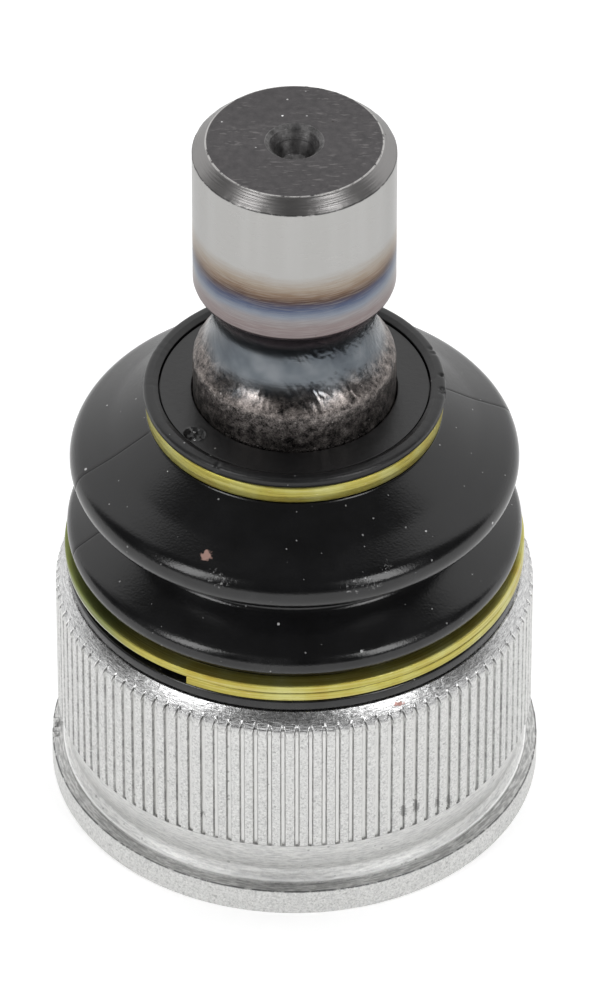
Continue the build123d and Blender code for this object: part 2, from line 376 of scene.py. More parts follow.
# %% Cut the grooves and rough up the rims
def shape_housing(azimuth, radius, height, outward):
    share = np.abs(knurl_share)[:, None] + 0 * radius
    arch = groove_end - groove_arch * (share / groove_mouth) ** 2 + 0.05 * knurl_ends[:, None]
    open_to = step_up(height, arch + 0.12, arch - 0.06)
    deep = step_up(share, groove_mouth, groove_floor) * knurl_deepness[:, None] * open_to
    crown = 1 + 0.06 * step_up(share, groove_floor, 0)
    floor_radius = seat_radius - groove_floor_depth * deep * crown
    outside = (radius > 18.5) & (height > seat_bottom - 0.01) & (height < boot_bottom + 0.1)
    run_out = 0.13 * deep * step_up(height, seat_top + 0.15, seat_top + 0.45)
    radius = np.where(outside & (deep > 0), np.minimum(radius, floor_radius) - run_out, radius)
    rolled = ridge(height, arch + 0.17, 0.1) * step_up(share, groove_mouth + 0.06, groove_mouth - 0.02)
    radius = radius + np.where(outside, 0.09 * rolled, 0)
    on_shoulder = outside & (height > seat_top - 0.2)
    scuffed = 0.006 * lumps(azimuth, height, 3, 420, 0.35) + 0.004 * lumps(azimuth, height, 4, 150, 0.5)
    on_rim = (radius > foot_radius + 0.45) & (height > 0.05) & (height < flange_top + 0.1)
    dented = 0.016 * lumps(azimuth, height, 8, 240, 0.9) + 0.03 * lumps(azimuth, height, 9, 70, 1.6)
    chip = patch(azimuth, height, -92.2, flange_top, 2.0, 1.2)
    chip = chip + patch(azimuth, height, -88.0, flange_top, 1.1, 0.7)
    worn = -np.abs(dented) * ridge(height, flange_top, 0.45) - 0.3 * chip
    push = np.where(on_shoulder, scuffed, 0) + np.where(on_rim, worn, 0)
    return pushed(radius, height, outward, push)


housing_shell = spin("housing_shell", housing_section, knurl_azimuths, shape_housing, sharp_angle=42)

# %% [markdown]
# ## The stud
# Ball, neck, collar, bolt groove and shank are one forging. The shank and its chamfer are ground and turned,
# so they stay true, while the collar and the groove keep the forging's scale: ridges that the dies left,
# small pits and a burr where the collar meets the groove. The section is one open line from the bottom of the
# ball to the bottom of the centre hole, and both of its ends lie on the axis.

# %% The stud's section
shank_radius = 9.0
shank_bottom = 56.26
shank_chamfer = 1.2
collar_radius = 9.06
collar_top = 47.6
collar_round = 1.6
collar_sweep = 34.0
groove_centre = (shank_bottom + collar_top) / 2
groove_cutter = 6.35
groove_axis_radius = shank_radius - 1.7 + groove_cutter
groove_sweep = math.degrees(math.asin((shank_bottom - groove_centre - 0.1) / groove_cutter))
neck_radius = 7.0
neck_fillet = 1.0
neck_top = 35.2
collar_foot = 38.2
ball_foot = 10.9
ball_radius = stud_high.x / mm
neck_edge_angle = math.asin((neck_radius + neck_fillet) / (ball_radius + neck_fillet))
neck_edge = 90 - math.degrees(neck_edge_angle)
fillet_height = ball_centre + (ball_radius + neck_fillet) * math.cos(neck_edge_angle)
hole_radius = 2.2
hole_mouth_radius = 2.62
hole_floor_radius = 1.25
hole_depth = 2.5


def stud_step(here, there):
    """Fine steps on the forged stretch that shows between the insert and the shank."""
    height = (here[1] + there[1]) / 2
    if insert_top - 0.4 < height < shank_bottom - 0.3:
        return 0.13
    if height < insert_top:
        return 1.0
    return 0.45


stud_corners = [
    (0, ball_centre - ball_foot),
    *arc(0, ball_centre, ball_radius, -65, neck_edge, 40),
    *arc(neck_radius + neck_fillet, fillet_height, neck_fillet, neck_edge - 180, -180, 6),
    (neck_radius, neck_top, 3.0),
    (collar_radius, collar_foot, 0.6),
    (collar_radius, collar_top - 0.1, collar_round),
    *arc(groove_axis_radius, groove_centre, groove_cutter, 180 + collar_sweep, 180 - groove_sweep, 30),
    (shank_radius, shank_bottom + 0.15, 0.12),
    (shank_radius, stud_top - shank_chamfer, 0.1),
    (shank_radius - shank_chamfer, stud_top, 0.08),
    (hole_mouth_radius, stud_top, 0.1),
    (hole_radius, stud_top - 0.35, 0.1),
    (hole_floor_radius, stud_top - hole_depth, 0.2),
    (0, stud_top - hole_depth - 0.3),
]
stud_section = outline(stud_corners, stud_step, closed=False)
print(f"stud section: {len(stud_section)} points")


# %% Forging scale on the collar and the groove
def shape_stud(azimuth, radius, height, outward):
    forged = step_up(height, insert_top - 1.2, insert_top - 0.2)
    forged = forged * step_up(height, shank_bottom - 0.5, shank_bottom - 2.0)
    flank = step_up(np.abs(degrees_off(azimuth, 42)), 62, 25)
    other_flank = step_up(np.abs(degrees_off(azimuth, -68)), 40, 12)
    slanted = azimuth + 3.0 * (height - collar_top)
    ridges = lumps(slanted, height, 21, 130, 0.8) * 0.6 + lumps(slanted, height, 22, 250, 0.4) * 0.4
    scale = lumps(azimuth, height, 23, 190, 0.28) * 0.6 + lumps(azimuth, height, 24, 360, 0.16) * 0.4
    soft = lumps(azimuth, height, 25, 34, 1.4)
    lower = step_up(height, collar_top + 2.4, collar_top + 0.3)
    crinkled = 0.05 * ridges * (flank + 0.2 * other_flank)
    push = forged * (0.025 * soft + crinkled + 0.02 * scale * (0.05 + lower))
    burr_height = 0.005 + 0.02 * np.clip(lumps(azimuth, height, 26, 130, 0.5), 0, 1)
    burr = ridge(height, collar_top, 0.3) * burr_height
    mouth = (radius < hole_mouth_radius + 0.25) & (height > stud_top - 1.2)
    torn = -0.012 * np.abs(lumps(azimuth, height, 27, 46, 0.6))
    push = push + np.where(radius > 7.5, burr, 0) * forged + np.where(mouth, torn, 0)
    edge = ridge(height, stud_top - shank_chamfer, 0.16) * (radius > 8.5)
    push = push - 0.035 * edge * np.clip(lumps(azimuth, height, 28, 70, 0.4), 0, 1)
    return np.maximum(radius + push * outward[0] * (radius > 0.01), 0), height + push * outward[1]


stud_forging = spin("stud_forging", stud_section, even_azimuths(540), shape_stud, closed=False)

# %% [markdown]
# ## The bellows
# The boot is moulded rubber. In CAD it has its lip, two folds, a groove for each clip and the rim that holds
# the hard insert; here the same section gets the softer roundings of the photograph. The mould's two
# halves left a hair-fine seam on opposite sides, and trimming left nicks in the rim, so both are in the mesh.

# %% The boot's section
lip_radius = 20.52
lip_height = 1.1
clip_groove_radius = 19.15
clip_groove_top = 26.45
lower_fold_radius = 20.5
lower_fold_edge = 1.35
upper_fold_radius = 20.14
upper_fold_edge = 1.85
upper_fold_height = boot_top - 8.26
valley_radius = 16.4
neck_radius_outside = 12.7
rim_radius = 13.5
rim_bottom = 42.86
rim_inner = 12.15
under_insert = 42.96
neck_radius_inside = 10.43
lower_fold_centre = (lower_fold_radius - lower_fold_edge, clip_groove_top + lower_fold_edge)
upper_fold_centre = (upper_fold_radius - upper_fold_edge, upper_fold_height)


def boot_step(here, there):
    return 0.45 if here[1] < 40 else 0.16


boot_corners = [
    (17.1, boot_bottom + 0.03, 0.1),
    (lip_radius, boot_bottom + 0.03, 0.22),
    (lip_radius, boot_bottom + lip_height, 0.22),
    (clip_groove_radius, boot_bottom + lip_height, 0.1),
    *arc(*lower_fold_centre, lower_fold_edge, -90, 52, 16),
    (valley_radius, 31.3, 0.6),
    (valley_radius, 32.7, 0.6),
    *arc(*upper_fold_centre, upper_fold_edge, -86, 58, 16),
    (16.6, 38.68, 12),
    (13.26, 40.9, 0.3),
    (13.22, upper_clip_low.z / mm - 0.22, 0.1),
    (neck_radius_outside, upper_clip_low.z / mm - 0.22, 0.05),
    (neck_radius_outside, rim_bottom, 0.05),
    (rim_radius, rim_bottom, 0.42),
    (rim_radius, boot_top - 0.02, 0.5),
    (rim_inner + 0.5, boot_top - 0.01, 0.2),
    (rim_inner, boot_top - 0.26, 0.08),
    (rim_inner, under_insert, 0.05),
    # the inner wall, which follows the outer one down to the lip
    (neck_radius_inside, under_insert),
    (neck_radius_inside, 39.8),
    (11.7, 39.7, 0.3),
    (18.4, 35.8, 0.4),
    (18.0, 35.0, 0.3),
    (15.1, 34.2, 0.5),
    (15.1, 31.6, 0.5),
    (18.9, 28.3, 0.3),
    (17.95, 27.9, 0.2),
    (17.95, 26.25),
    (17.1, 26.25),
]
boot_section = outline(boot_corners, boot_step)
print(f"boot section: {len(boot_section)} points")

# %% The mould's seam, the trimmed rim and small flaws
seam_azimuth = -76.0
seam_half_angle = 0.3
seam_depth = 0.04
folds_top = 40.6
rim_nicks = ((111.6, 0.2), (108.5, 0.12), (95.0, 0.24), (86.5, 0.28), (84.5, 0.16), (-31.0, 0.1))


def shape_boot(azimuth, radius, height, outward):
    off_seam = np.abs((azimuth - seam_azimuth + 90) % 180 - 90)
    on_folds = (height > clip_groove_top) & (height < 41)
    seam = ridge(off_seam, 0, seam_half_angle) * on_folds
    on_rim = (radius > rim_inner - 0.05) & (height > boot_top - 0.6)
    nicks = 0.0
    for centre, depth in rim_nicks:
        nick = ridge(degrees_off(azimuth, centre), 0, 0.8)
        nicks = nicks + depth * nick * step_up(radius, rim_radius - 0.75, rim_radius - 0.3)
    trimmed = 0.012 * np.clip(lumps(azimuth, height, 31, 170, 0.5), 0, 1) + nicks
    soft = 0.02 * lumps(azimuth, height, 32, 9, 6.0)
    push = soft * on_folds - seam_depth * seam - np.where(on_rim, trimmed, 0)
    return pushed(radius, height, outward, push)


bellows = spin("bellows", boot_section, even_azimuths(720), shape_boot)

# %% [markdown]
# ## The insert
# A hard plastic ring sits in the boot's top and turns on the stud's collar. Its flat face shows where the
# plastic was injected: a round, torn gate mark. It is a dent with noise in it, on a plate that has enough
# points to carry it.

# %% The insert and its gate mark
insert_bore = 9.17
insert_outer = 12.02
insert_sleeve = 1.05
insert_plate = 0.35
gate_radius_from_axis = 11.1
gate_azimuth = -53.0
gate_size = 0.95


def insert_step(here, there):
    return 0.1 if min(here[1], there[1]) > insert_top - 0.05 else 0.6


insert_section = outline([
    (insert_bore, insert_low.z / mm),
    (insert_bore + insert_sleeve, insert_low.z / mm),
    (insert_bore + insert_sleeve, insert_top - insert_plate),
    (insert_outer, insert_top - insert_plate, 0.04),
    (insert_outer, insert_top, 0.06),
    (insert_bore, insert_top, 0.08),
], insert_step)


def shape_insert(azimuth, radius, height, outward):
    angle = np.radians(azimuth - gate_azimuth)
    away = np.hypot(radius * np.cos(angle) - gate_radius_from_axis, radius * np.sin(angle))
    inside = step_up(away, gate_size, gate_size * 0.8)
    torn = lumps(azimuth, radius, 41, 260, 0.22) * 0.6 + lumps(azimuth, radius, 42, 520, 0.12) * 0.4
    rim = 0.035 * ridge(away, gate_size * 1.02, 0.1)
    wavy = 0.012 * lumps(azimuth, radius, 43, 24, 1.1)
    on_top = height > insert_top - 0.04
    push = np.where(on_top, inside * (-0.26 + 0.12 * torn) + rim + wavy, 0)
    return pushed(radius, height, outward, push)


insert_ring = spin("insert_ring", insert_section, even_azimuths(540), shape_insert)

# %% [markdown]
# ## The wire clips
# Both clips are flat spring wire. The lower one starts at the front left, climbs on itself after a full turn
# and ends behind, so two coils show at the front and right and only one at the left. A rounded rectangle is
# carried along a helix point by point. A curve with a bevel would do it too, but would twist the wire.

# %% Carry a rounded rectangle along a helix
def wire_outline(width, wire_height, rounding):
    """The flat wire's section, as offsets from its middle: outward and up."""
    half_width = width / 2
    half_height = wire_height / 2
    corners = [
        (-half_width, -half_height, rounding),
        (half_width, -half_height, rounding),
        (half_width, half_height, rounding),
        (-half_width, half_height, rounding),
    ]
    return outline(corners, lambda here, there: 0.4)


def wind(name, section, start_azimuth, turns, middle_radius, low_height, turn_pitch, steps_per_turn=300):
    """Winds the wire upward from start_azimuth. middle_radius is a function of the azimuth travelled."""
    steps = int(turns * steps_per_turn)
    travelled = np.linspace(0, turns * 360, steps + 1)
    azimuth = np.radians(start_azimuth + travelled)[:, None]
    radius = middle_radius(travelled)[:, None] + section[:, 0][None, :]
    height = low_height + turn_pitch * travelled[:, None] / 360 + section[:, 1][None, :]
    height = height + 0.01 * lumps(np.degrees(azimuth) + 0 * radius, radius, 51, 40, 3)
    grid = np.stack([radius * np.sin(azimuth), -radius * np.cos(azimuth), height], axis=-1) * mm
    rows, columns = radius.shape
    index = np.arange(rows * columns).reshape(rows, columns)
    turn_on = np.roll(index, -1, 1)
    quads = np.stack([index[:-1], index[1:], turn_on[1:], turn_on[:-1]], axis=-1).reshape(-1, 4)
    faces = quads.tolist() + [index[0].tolist(), index[-1].tolist()[::-1]]
    piece = finish_mesh(name, grid.reshape(-1, 3), faces, 60)
    print(f"{name}: {turns:.3f} turns, {len(faces)} faces")
    return piece


# %% Wind the lower clip
clip_wire_height = 0.84
clip_wire_width = 1.5
clip_pitch = 0.86
clip_turns = 1.66
clip_start = -27.7
clip_outer = 20.72
clip_rest = boot_bottom + lip_height + 0.21
end_tuck = 0.12
lower_clip_middle = clip_outer - clip_wire_width / 2


def lower_clip_radius(travelled):
    left = clip_turns * 360 - travelled
    return lower_clip_middle - end_tuck * step_up(left, 60, 0) - 0.05 * step_up(travelled, 20, 0)


lower_wire = wind(
    "lower_wire",
    wire_outline(clip_wire_width, clip_wire_height, 0.12),
    clip_start,
    clip_turns,
    lower_clip_radius,
    clip_rest + clip_wire_height / 2,
    clip_pitch,
)

# %% [markdown]
# The upper clip is a closed band with a soft crown, so it is spun like the other rings.

# %% Spin the upper clip
band_outer = upper_clip_high.x / mm
band_inner = band_outer - 0.5
band_low = upper_clip_low.z / mm - 0.12
band_high = upper_clip_high.z / mm
band_section = outline([
    (band_inner, band_low, 0.05),
    (band_outer - 0.08, band_low, 0.16),
    (band_outer, band_low + 0.75, 1.0),
    (band_outer - 0.06, band_high, 0.16),
    (band_inner, band_high, 0.05),
], lambda here, there: 0.25)


def shape_band(azimuth, radius, height, outward):
    return pushed(radius, height, outward, 0.012 * lumps(azimuth, height, 61, 30, 0.9))


upper_band = spin("upper_band", band_section, even_azimuths(480), shape_band)

# %% [markdown]
# ## All pieces but the bellows ride on their bodies
# The new meshes stand for CAD nodes, which stay in the physics but aren't shown. The bellows joins two
# bodies, the lower clip's and the leaning insert's. It is only baked in place here and rides on
# neither.

# %% Tie the pieces to the frame
for piece, body, node, slot in (
    (housing_shell, "housing", "housing", "zinc_plating"),
    (stud_forging, "stud", "ball_stud", "stud_steel"),
    (insert_ring, "boot_top", "boot_insert", "insert_plastic"),
    (upper_band, "boot_top", "upper_clip", "clip_wire"),
    (lower_wire, "boot", "lower_clip", "clip_wire"),
):
    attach(piece, body)
    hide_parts(node)
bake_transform(bellows)
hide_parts("dust_boot")

# %% [markdown]
# ## Building materials in code
# A node tree is arithmetic drawn as boxes. `Value` wraps what a node gives out, so that `+`, `-`, `*` and `/`
# make the Math nodes and the formulas below read like formulas. `add` makes any node and fills its inputs,
# `between` is a soft step, `ramp` a colour ramp and `mix` a colour mix. `coats` lays colours over each
# other.

# %% Helpers for node trees
class Value:
    """What a node gives out. It can be calculated with like a number, and each step is one Math node."""

    def __init__(self, node, output=0):
        self.tree = node.id_data
        self.socket = node.outputs[output]

    def __add__(self, other):
        return calc("ADD", self, other)

    def __radd__(self, other):
        return calc("ADD", other, self)

    def __sub__(self, other):
        return calc("SUBTRACT", self, other)

    def __rsub__(self, other):
        return calc("SUBTRACT", other, self)

    def __mul__(self, other):
        return calc("MULTIPLY", self, other)

    def __truediv__(self, other):
        return calc("DIVIDE", self, other)

    def __rtruediv__(self, other):
        return calc("DIVIDE", other, self)

    def __abs__(self):
        return calc("ABSOLUTE", self)


def rgba(colour):
    """A colour with full cover. A single number stands for a grey."""
    red, green, blue = colour if isinstance(colour, tuple) else (colour, colour, colour)
    return red, green, blue, 1.0


def connect(value, socket):
    """Links a value to a node's input, or writes a number, a vector or a colour there."""
    if isinstance(value, Value):
        value.tree.links.new(value.socket, socket)
    else:
        socket.default_value = rgba(value) if socket.type == "RGBA" else value


def add(tree, kind, inputs=None, **settings):
    """A new node of that kind, with its settings and with values, numbers or colours at its inputs."""
    node = tree.nodes.new(kind)
    for key, value in settings.items():
        setattr(node, key, value)
    for key, value in (inputs or {}).items():
        connect(value, node.inputs[key])
    return node


def calc(operation, first, second=0.0):
    """One Math node. At least one of the two is a value, and the other may be a number."""
    tree = first.tree if isinstance(first, Value) else second.tree
    return Value(add(tree, "ShaderNodeMath", {0: first, 1: second}, operation=operation))


def between(value, low, high):
    """0 at low, 1 at high and smooth in between. With high below low it falls."""
    inputs = {"Value": value, "From Min": low, "From Max": high}
    return Value(add(value.tree, "ShaderNodeMapRange", inputs, interpolation_type="SMOOTHSTEP"))


def band(value, centre, half_width, edge):
    """1 within half_width of centre, falling to 0 over the edge."""
    return between(abs(value - centre), half_width + edge, half_width)


def any_of(*masks):
    """The strongest of several masks."""
    strongest = masks[0]
    for mask in masks[1:]:
        strongest = calc("MAXIMUM", strongest, mask)
    return strongest


def ramp(value, *stops):
    """A colour ramp with these places and colours."""
    node = add(value.tree, "ShaderNodeValToRGB", {"Fac": value})
    elements = node.color_ramp.elements
    for place, _ in stops[2:]:
        elements.new(place)
    for element, (place, colour) in zip(elements, stops):
        element.position = place
        element.color = rgba(colour)
    return Value(node)


def mix(share, first, second):
    """The first colour where share is 0 and the second where it is 1."""
    return Value(add(share.tree, "ShaderNodeMix", {0: share, 6: first, 7: second}, data_type="RGBA"), 2)


def coats(base, *layers):
    """Lays colours over the base in this order, each where its own mask is."""
    for mask, colour in layers:
        base = mix(mask, base, colour)
    return base


def noise(tree, place, **inputs):
    return Value(add(tree, "ShaderNodeTexNoise", {"Vector": place, **inputs}))


# %% [markdown]
# ## Effects that several finishes share
# Each shared effect is a node group with named sockets, so that one material can have it fine and another
# coarse. They all measure in millimetres on the object itself, so the pattern stays put when the part moves.

# %% A helper that starts a node group
def new_group(name, output, inputs):
    """Returns a group with one output, its inputs as values by name, and the socket for what it gives out."""
    group = bpy.data.node_groups.new(name, "ShaderNodeTree")
    for label, value in inputs.items():
        socket = group.interface.new_socket(label, in_out="INPUT", socket_type="NodeSocketFloat")
        socket.default_value = value
    group.interface.new_socket(output, in_out="OUTPUT", socket_type="NodeSocketFloat")
    start = group.nodes.new("NodeGroupInput")
    end = group.nodes.new("NodeGroupOutput")
    return group, {label: Value(start, label) for label in inputs}, end.inputs[output]


def millimetres(tree):
    """The place on the object in millimetres, as a vector."""
    place = Value(add(tree, "ShaderNodeTexCoord"), "Object")
    return Value(add(tree, "ShaderNodeVectorMath", {0: place, 3: 1 / mm}, operation="SCALE"))


def axis_places(tree):
    """Radius from the axis, height, and the direction from the axis as a unit vector's two parts."""
    parts = add(tree, "ShaderNodeSeparateXYZ", {0: millimetres(tree)})
    x, y, height = (Value(parts, index) for index in range(3))
    radius = calc("SQRT", x * x + y * y)
    length = any_of(radius, 0.01)
    return radius, height, x / length, y / length


# %% Group: fine lines left by turning and grinding
turned_lines, given, result = new_group(
    "turned_lines", "Lines", {"Lines per mm": 6.0, "Breaks": 3.0, "Detail": 2.0}
)
radius, height, across, towards = axis_places(turned_lines)
line_place = Value(add(turned_lines, "ShaderNodeCombineXYZ", {
    0: across * given["Breaks"],
    1: towards * given["Breaks"],
    2: height * given["Lines per mm"],
}))
line_noise = add(turned_lines, "ShaderNodeTexNoise", {
    "Vector": line_place,
    "W": radius * given["Lines per mm"],
    "Scale": 1.0,
    "Detail": given["Detail"],
}, noise_dimensions="4D")
connect(Value(line_noise), result)

# %% Group: grain, an even fine unevenness
grain, given, result = new_group("grain", "Grain", {"Size mm": 0.3, "Detail": 3.0, "Roughness": 0.6})
fineness = 1.0 / given["Size mm"]
grain_noise = noise(
    grain, millimetres(grain), Scale=fineness, Detail=given["Detail"], Roughness=given["Roughness"]
)
connect(grain_noise, result)

# %% Group: specks, scattered dots with a share of cells that have one
specks, given, result = new_group("specks", "Specks", {"Spacing mm": 1.0, "Dot mm": 0.05, "Share": 0.2})
density = 1.0 / given["Spacing mm"]
cells = add(specks, "ShaderNodeTexVoronoi", {"Vector": millimetres(specks), "Scale": density})
dice = add(specks, "ShaderNodeSeparateColor", {0: Value(cells, "Color")})
dot_size = given["Dot mm"] / given["Spacing mm"] * Value(dice, 1)
dot = calc("LESS_THAN", Value(cells, "Distance"), dot_size)
chosen = calc("LESS_THAN", Value(dice, 0), given["Share"])
connect(dot * chosen, result)

# %% Group: a mark at one place, with a ragged edge
mark, given, result = new_group("mark", "Mark", {
    "X mm": 0.0, "Y mm": 0.0, "Z mm": 0.0, "Size mm": 1.0, "Tall": 1.0, "Ragged": 0.5,
})
place = millimetres(mark)
centre = Value(add(mark, "ShaderNodeCombineXYZ", {0: given["X mm"], 1: given["Y mm"], 2: given["Z mm"]}))
away = Value(add(mark, "ShaderNodeVectorMath", {0: place, 1: centre}, operation="SUBTRACT"))
flattened = Value(add(mark, "ShaderNodeCombineXYZ", {0: 1.0, 1: 1.0, 2: 1.0 / given["Tall"]}))
away = Value(add(mark, "ShaderNodeVectorMath", {0: away, 1: flattened}, operation="MULTIPLY"))
distance = Value(add(mark, "ShaderNodeVectorMath", {0: away}, operation="LENGTH"), "Value")
ragged_edge = (noise(mark, place, Scale=1.6 / given["Size mm"]) - 0.5) * (given["Ragged"] * 4.0)
connect(between(distance / given["Size mm"] + ragged_edge, 1.0, 0.7), result)


def use(tree, group, **values):
    """Places a group with its own values. An underscore stands for a space in a socket's name."""
    inputs = {key.replace("_", " "): value for key, value in values.items()}
    return Value(add(tree, "ShaderNodeGroup", inputs, node_tree=group))


def mark_at(tree, azimuth, radius, height, size, tall=1.0, ragged=0.5):
    """A mark given by its azimuth, its radius from the axis and its height."""
    turn = math.radians(azimuth)
    x = radius * math.sin(turn)
    y = -radius * math.cos(turn)
    return use(tree, mark, X_mm=x, Y_mm=y, Z_mm=height, Size_mm=size, Tall=tall, Ragged=ragged)


def marks_at(tree, *marks):
    """One mask for several marks, each a row of what mark_at takes."""
    return any_of(*(mark_at(tree, *row) for row in marks))


print("shared effects:", [group.name for group in bpy.data.node_groups])


# %% Helpers that start and finish a material
def new_material(name, metallic, specular=0.5):
    """A new material, its node tree and its shader."""
    material = bpy.data.materials.new(name)
    material.use_nodes = True
    shader = material.node_tree.nodes["Principled BSDF"]
    shader.inputs["Metallic"].default_value = metallic
    shader.inputs["Specular IOR Level"].default_value = specular
    return material, material.node_tree, shader


def surface(shader, colour, roughness, normal):
    """Hands the three values that every finish has to the shader."""
    connect(colour, shader.inputs["Base Color"])
    connect(roughness, shader.inputs["Roughness"])
    connect(normal, shader.inputs["Normal"])


def bump(height, distance_mm, under=None):
    """The normal of a relief that is distance_mm high, over another relief if there is one."""
    inputs = {"Height": height, "Distance": distance_mm * mm, "Strength": 1.0}
    if under is not None:
        inputs["Normal"] = under
    return Value(add(height.tree, "ShaderNodeBump", inputs))


def wear(piece, material):
    piece.data.materials.clear()
    piece.data.materials.append(material)


# %% [markdown]
# ## Zinc plating
# Bright zinc on turned steel is pale, satin and finely speckled, never a mirror. Fine turned lines show on
# the waist and the flange, and the lands of the knurl are speckled. The walls of the grooves get painted shade,
# their floors a painted highlight, and the shoulder is scuffed darker. Each groove ends in a small arch with a
# raised rim above it. A highlight is painted on that rim and shade below it, so the arches are worked out
# again here from the same numbers as in the mesh.

# %% Zinc plating: where things are
zinc, tree, shader = new_material("zinc_plating", 1.0)
radius, height, across, towards = axis_places(tree)
fine_grain = use(tree, grain, Size_mm=0.22, Detail=4.0, Roughness=0.75)
coarse_grain = use(tree, grain, Size_mm=0.8, Detail=4.0, Roughness=0.65)
scratches = use(tree, turned_lines, Lines_per_mm=9.0, Breaks=40.0, Detail=3.0)
lines = use(tree, turned_lines, Lines_per_mm=7.0, Breaks=26.0)
pits = use(tree, specks, Spacing_mm=0.6, Dot_mm=0.17, Share=0.2)
on_shoulder = between(height, seat_top + 0.1, seat_top + 0.5)
on_waist = between(height, seat_bottom - 0.02, seat_bottom - 0.1)
on_waist = on_waist * between(height, flange_top, flange_top + 0.25)
above_flange = between(height, flange_top + 0.1, flange_top + 0.03)
on_flange = between(height, flange_top - 0.12, flange_top - 0.04) * above_flange
on_knurl = between(height, seat_bottom, seat_bottom + 0.05) * between(height, seat_top - 0.3, seat_top - 0.6)
below_lands = between(radius, seat_radius - 0.01, seat_radius - 0.06)
above_floors = between(radius, seat_radius - 0.24, seat_radius - 0.19)
# Painted shade: the walls of the knurl's grooves are darkened.
groove_wall_shade = below_lands * above_floors * on_knurl * between(coarse_grain, 0.2, 0.75)
# Painted highlight: the groove floors are coloured lighter than the lands.
groove_floor_highlight = between(radius, seat_radius - 0.18, seat_radius - 0.22) * on_knurl
# Painted shade: a dark line along the lower edge of the knurl's lands.
knurl_foot_shade = band(height, seat_bottom, 0.03, 0.05) * between(radius, seat_radius - 0.2, seat_radius - 0.1)
knurl_foot_shade = knurl_foot_shade * between(coarse_grain, 0.3, 0.5)
# Painted highlight: a bright thin line round the foot, just above the flange.
foot_highlight = band(height, flange_top + foot_step - 0.03, 0.05, 0.06) * between(coarse_grain, 0.3, 0.42)
foot_highlight = foot_highlight * between(radius, waist_radius - 0.06, waist_radius - 0.16)
edge_line = band(radius, flange_radius - 0.08, 0.03, 0.06) * between(coarse_grain, 0.35, 0.5)
edge_line = edge_line * between(height, flange_top - 0.15, flange_top - 0.07)

# %% Zinc plating: the arches where the grooves end
turn = calc("ARCTAN2", across, towards * -1.0)
pitches_on = turn * (groove_count / (2 * math.pi)) - (groove_phase / pitch - 0.5)
off_middle = abs(calc("FRACT", pitches_on) - 0.5)
arch_place = height + off_middle * off_middle * (groove_arch / groove_mouth**2)
in_groove = between(off_middle, groove_mouth + 0.08, groove_mouth + 0.03)
# Painted shade below each arch, and a painted highlight on its raised rim.
arch_shade = band(arch_place, groove_end - 0.16, 0.1, 0.1) * in_groove
arch_rim_highlight = band(arch_place, groove_end + 0.12, 0.05, 0.05) * in_groove

# %% Zinc plating: chips and one spot of rust
chips = marks_at(
    tree,
    (27.1, 21.45, 9.8, 0.28, 3.0),
    (30.6, 21.45, 9.9, 0.34, 3.0),
    (36.7, 21.45, 9.1, 0.24, 3.0),
    (40.4, 21.45, 8.6, 0.26, 3.0),
    (-22.5, 21.5, 10.0, 0.3, 1.4),
    (-92.0, 21.7, 2.7, 0.6, 1.0),
)
rust = mark_at(tree, 26.3, 20.95, 22.4, 0.5, 0.45)

# %% Zinc plating: the finish
streaks = ramp(lines, (0.36, (0.6, 0.6, 0.595)), (0.5, (0.76, 0.76, 0.75)), (0.62, (0.86, 0.86, 0.84)))
base = coats(
    ramp(fine_grain, (0.34, (0.4, 0.4, 0.395)), (0.47, (0.62, 0.62, 0.61)), (0.68, (0.8, 0.8, 0.785))),
    (between(coarse_grain, 0.5, 0.75) * 0.4, 0.44),
    (on_shoulder * 0.75, ramp(scratches, (0.36, (0.3, 0.3, 0.305)), (0.5, (0.5, 0.5, 0.505)), (0.64, 0.72))),
    (on_waist * 0.75, streaks),
    (on_flange * 0.75, ramp(lines, (0.38, 0.3), (0.5, (0.45, 0.45, 0.445)), (0.62, (0.66, 0.66, 0.65)))),
    (groove_wall_shade * 0.75, 0.18),
    (groove_floor_highlight * 0.8, (0.8, 0.8, 0.785)),
    (knurl_foot_shade * 0.45, 0.16),
    (foot_highlight, (0.92, 0.92, 0.91)),
    (edge_line * 0.85, 0.1),
    (arch_shade * 0.7, 0.14),
    (arch_rim_highlight * 0.9, (0.97, 0.97, 0.96)),
    (chips * 0.55, 0.14),
    (pits * 0.5, 0.24),
    (rust * 0.9, (0.24, 0.12, 0.1)),
)
rough = fine_grain * 0.3 + 0.24 - on_shoulder * 0.12 - on_flange * 0.06
off_knurl = any_of(between(height, seat_bottom, seat_bottom - 0.1), on_shoulder)
dents = (fine_grain * 0.8 + coarse_grain * 0.6) * (1.0 - on_shoulder * 0.6)
surface(shader, base, rough, bump(dents, 0.06, under=bump(lines * off_knurl, 0.04)))
wear(housing_shell, zinc)

# %% [markdown]
# ## The stud's steel
# One material covers the stud, and the height decides what shows. From the top: a dull saw-cut face, a turned
# chamfer, a ground shank, and the band of temper colours where the heat of forging ran into it: straw, brown,
# purple, blue and then pale grey. Below that the groove is blue-grey oxide and the collar is brown scale.
# Grinding round the shank draws reflections out along its length, which is what the anisotropic socket does.

